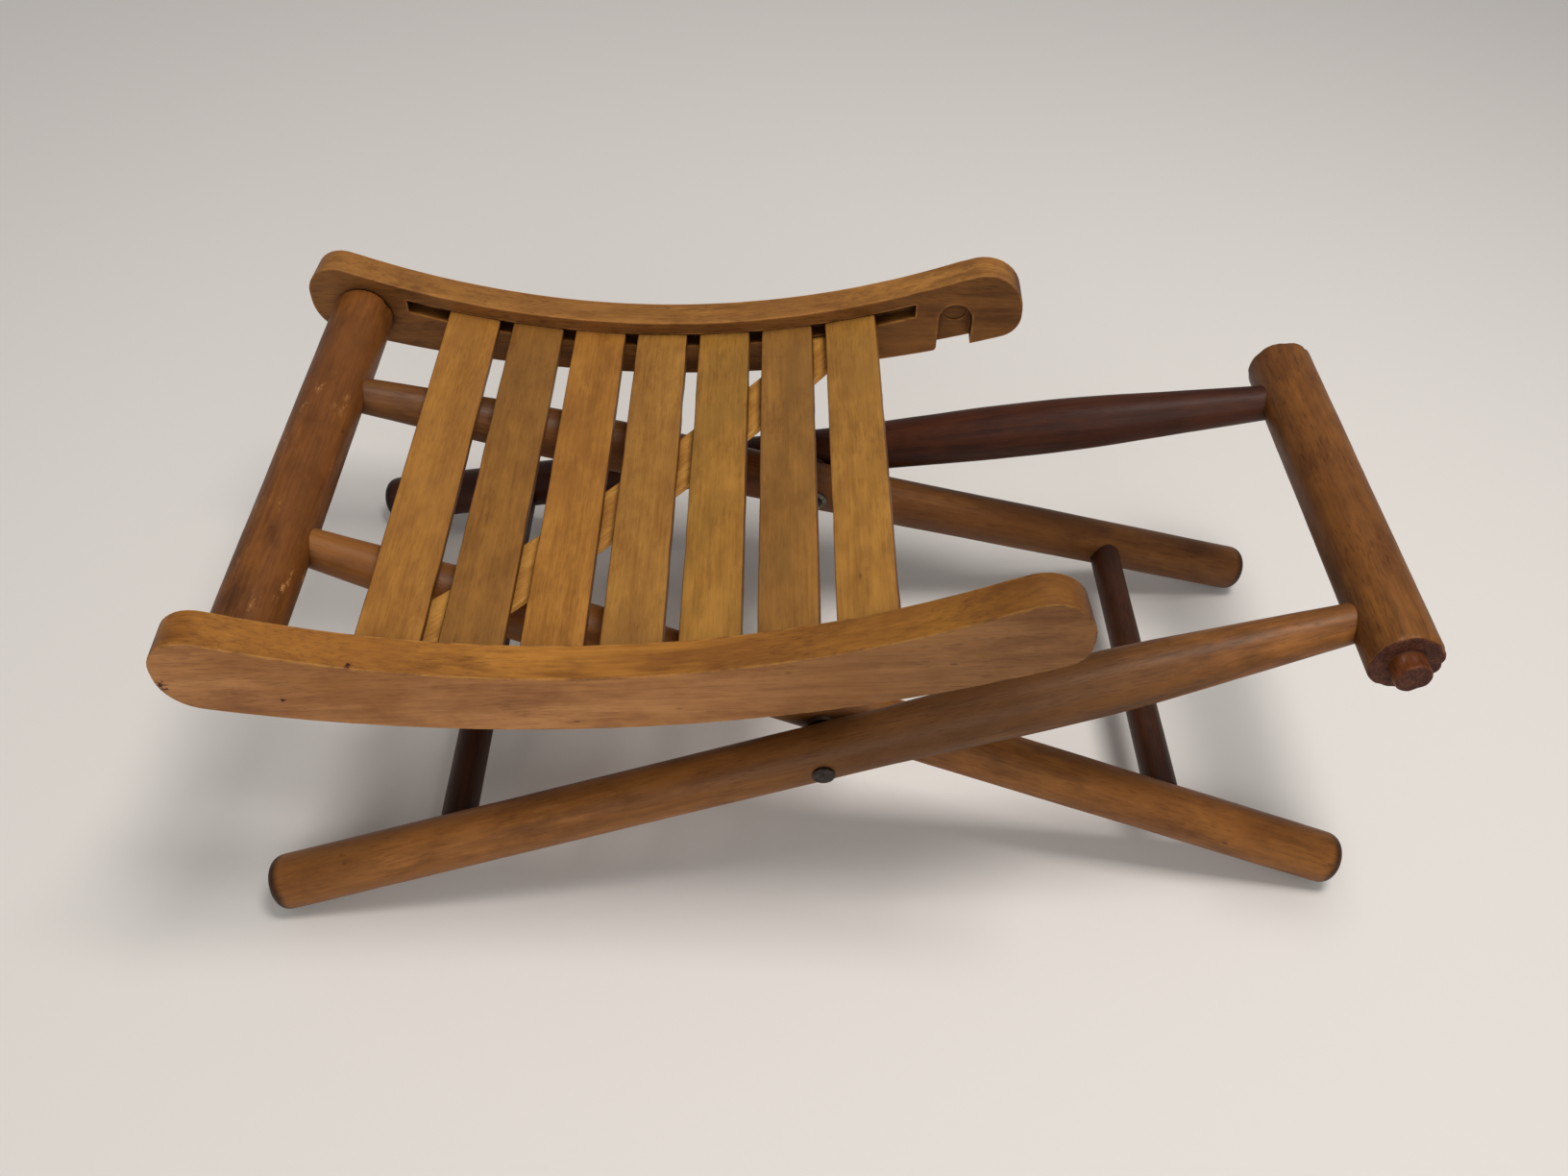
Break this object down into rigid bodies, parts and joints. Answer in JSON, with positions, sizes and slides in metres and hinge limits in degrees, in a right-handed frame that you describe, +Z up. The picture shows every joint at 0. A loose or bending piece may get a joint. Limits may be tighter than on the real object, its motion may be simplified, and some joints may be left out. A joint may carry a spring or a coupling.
{
  "type": "folding slatted stool",
  "caption": "Small folding wooden stool with a dished slatted seat, crossed round legs and a catch bar that hooks under the seat rails.",
  "frame": {"origin": "on the floor, under the middle of the part-folded stool's box", "axes": "+X from the pivot bar to the catch bar, +Y to the rear side, +Z up"},
  "size_m": [0.5347, 0.2958, 0.2079],
  "materials": {
    "slat_wood": "worn satin varnish, honey gold",
    "rail_wood": "worn satin varnish, golden brown",
    "batten_wood": "lightly varnished, paler than the slats",
    "bar_wood": "worn satin varnish, reddish brown",
    "leg_wood": "worn satin varnish, mid brown",
    "stretcher_wood": "worn satin varnish, dark red brown",
    "rivet_steel": "darkened with age",
    "washer_steel": "dull, tarnished",
    "spacer_leather": "dark waxed hide",
    "tack_steel": "dull, tarnished"
  },
  "bodies": {
    "inner_frame": {"pivot_bar": "bar_wood", "inner_leg_front": "leg_wood", "inner_leg_rear": "leg_wood", "inner_stretcher": "stretcher_wood", "rivet_front": "rivet_steel", "rivet_rear": "rivet_steel", "burr_washer_front": "washer_steel", "burr_washer_rear": "washer_steel", "spacer_washer_front": "spacer_leather", "spacer_washer_rear": "spacer_leather"},
    "outer_frame": {"catch_bar": "bar_wood", "outer_leg_front": "leg_wood", "outer_leg_rear": "leg_wood", "outer_stretcher": "stretcher_wood"},
    "seat": {"side_rail_front": "rail_wood", "side_rail_rear": "rail_wood", "diagonal_batten": "batten_wood", "batten_tacks": "tack_steel", "slat_1": "slat_wood", "slat_2": "slat_wood", "slat_3": "slat_wood", "slat_4": "slat_wood", "slat_5": "slat_wood", "slat_6": "slat_wood", "slat_7": "slat_wood"}
  },
  "joints": [
    {"name": "leg_scissor", "type": "hinge", "parent": "inner_frame", "child": "outer_frame", "pos_m": [0.00201, 0, 0.0877], "axis": [0, -1, 0], "range_deg": [0, 71.7]},
    {"name": "seat_pivot", "type": "hinge", "parent": "inner_frame", "child": "seat", "pos_m": [-0.24018, 0, 0.15805], "axis": [0, -1, 0], "range_deg": [0, 37.3]}
  ],
  "couplings": [
    {"joint": "seat_pivot", "follows": "leg_scissor", "ratio": 0.52}
  ]
}
